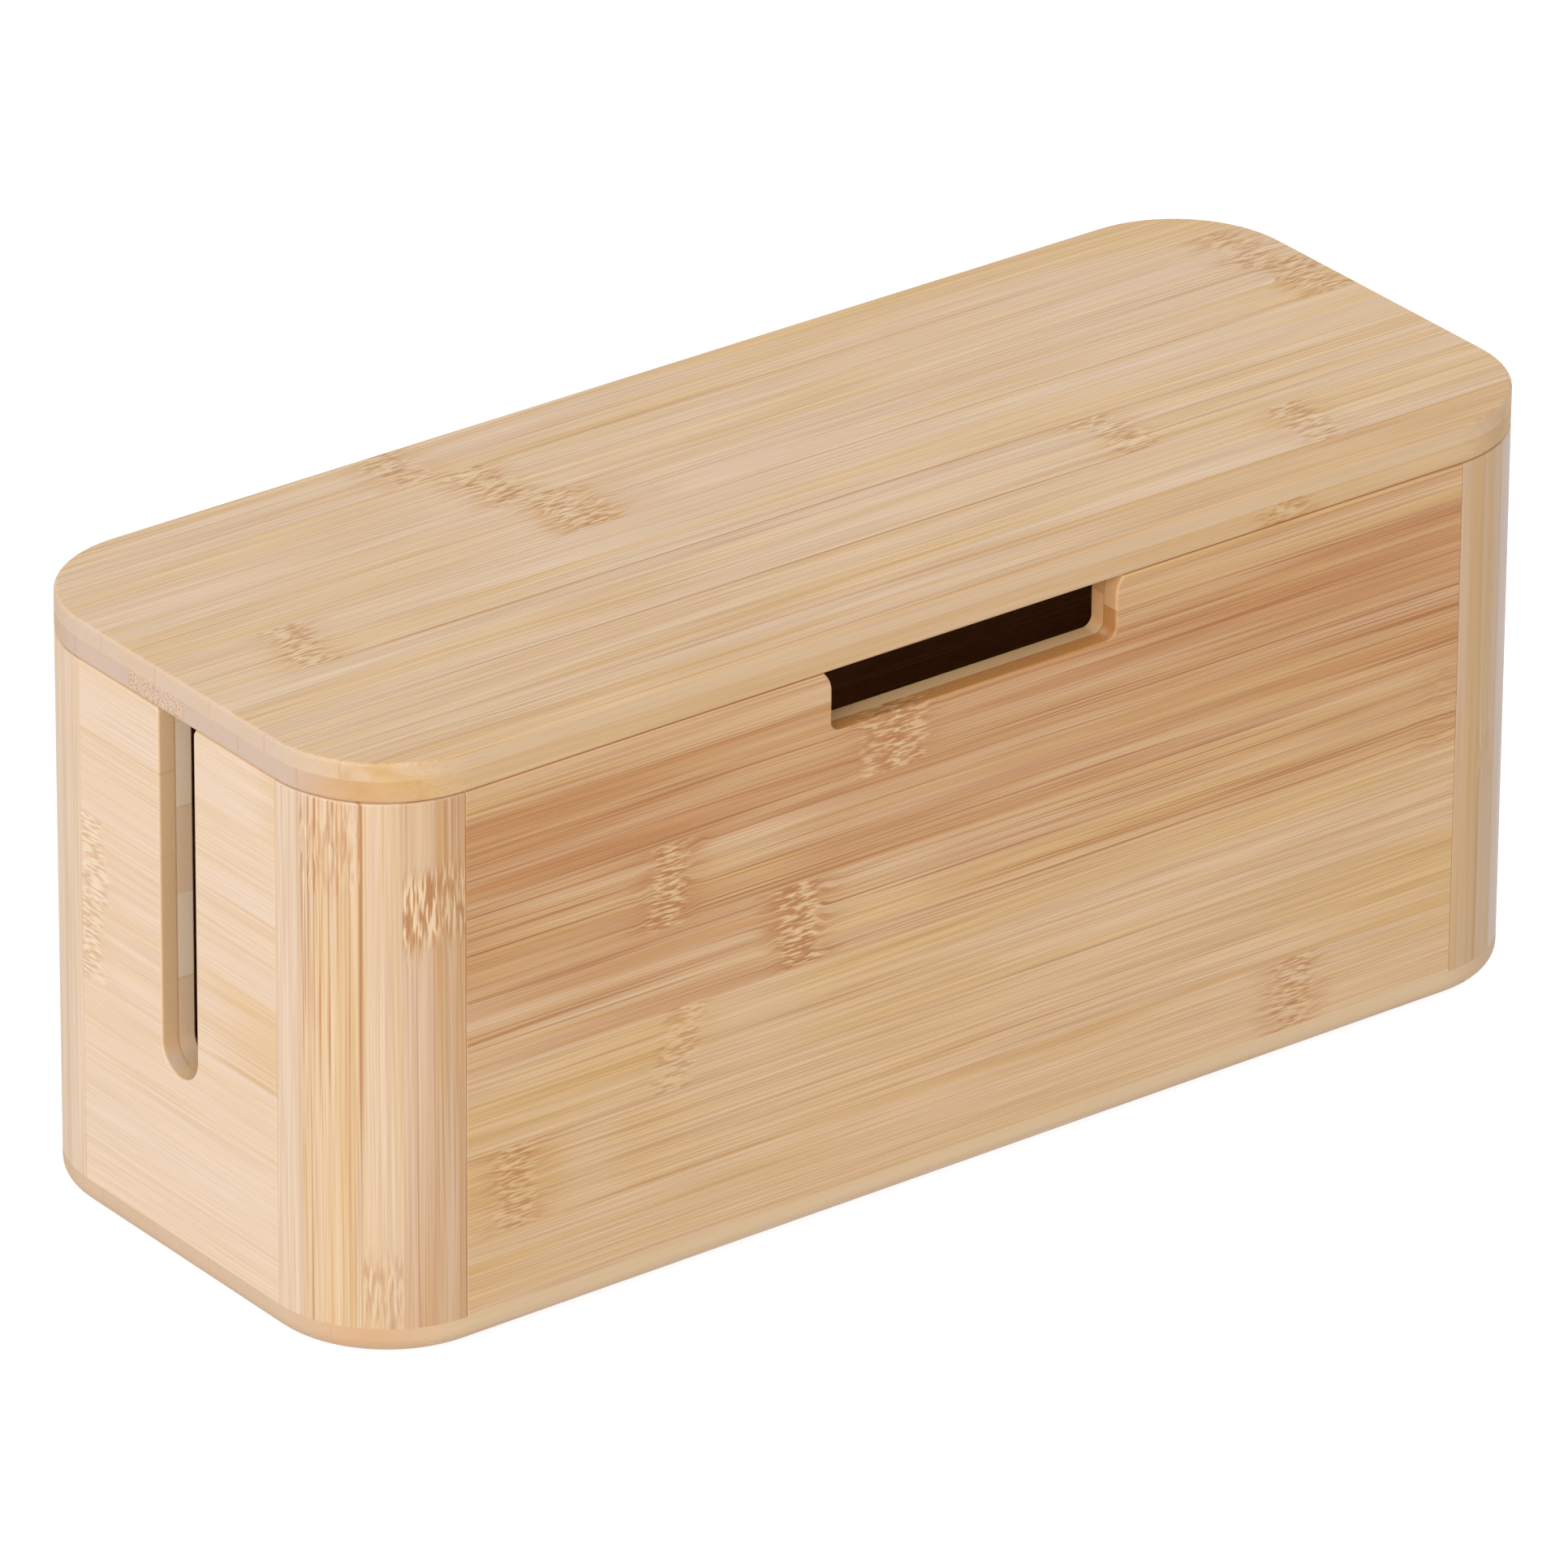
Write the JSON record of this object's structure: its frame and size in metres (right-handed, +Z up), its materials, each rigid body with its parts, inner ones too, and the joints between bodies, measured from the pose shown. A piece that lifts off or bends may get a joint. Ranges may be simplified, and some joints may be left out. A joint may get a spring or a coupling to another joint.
{
  "type": "cable management box",
  "caption": "Long rounded bamboo box with a lift-off lid, a cable slot in each end and a cable notch at the top of the front, for hiding a power strip.",
  "frame": {"origin": "centre of the footprint, on the surface that the feet stand on", "axes": "+X along the box to the right seen from the notch side, +Y to the rear, +Z up"},
  "size_m": [0.33, 0.13, 0.143],
  "materials": {
    "bamboo_lid": "satin lacquer",
    "bamboo_panel": "satin lacquer",
    "bamboo_post": "satin lacquer",
    "bamboo_base": "satin lacquer",
    "bamboo_inner": "bare, sanded",
    "rubber_foot": "matt"
  },
  "bodies": {
    "box": {"base_board": "bamboo_base", "post_front_left": "bamboo_post", "post_front_right": "bamboo_post", "post_rear_right": "bamboo_post", "post_rear_left": "bamboo_post", "front_outer_ply": "bamboo_panel", "right_outer_ply": "bamboo_panel", "rear_outer_ply": "bamboo_panel", "left_outer_ply": "bamboo_panel", "front_inner_ply": "bamboo_inner", "right_inner_ply": "bamboo_inner", "rear_inner_ply": "bamboo_inner", "left_inner_ply": "bamboo_inner", "foot_front_left": "rubber_foot", "foot_front_right": "rubber_foot", "foot_rear_right": "rubber_foot", "foot_rear_left": "rubber_foot"},
    "lid": {"lid_top_ply": "bamboo_lid", "lid_bottom_ply": "bamboo_lid", "lid_block_front_left": "bamboo_inner", "lid_block_front_right": "bamboo_inner", "lid_block_rear_right": "bamboo_inner", "lid_block_rear_left": "bamboo_inner"}
  },
  "joints": [
    {"name": "lid_lift", "type": "slide", "parent": "box", "child": "lid", "axis": [0, 0, 1], "range_m": [0, 0.12]}
  ]
}
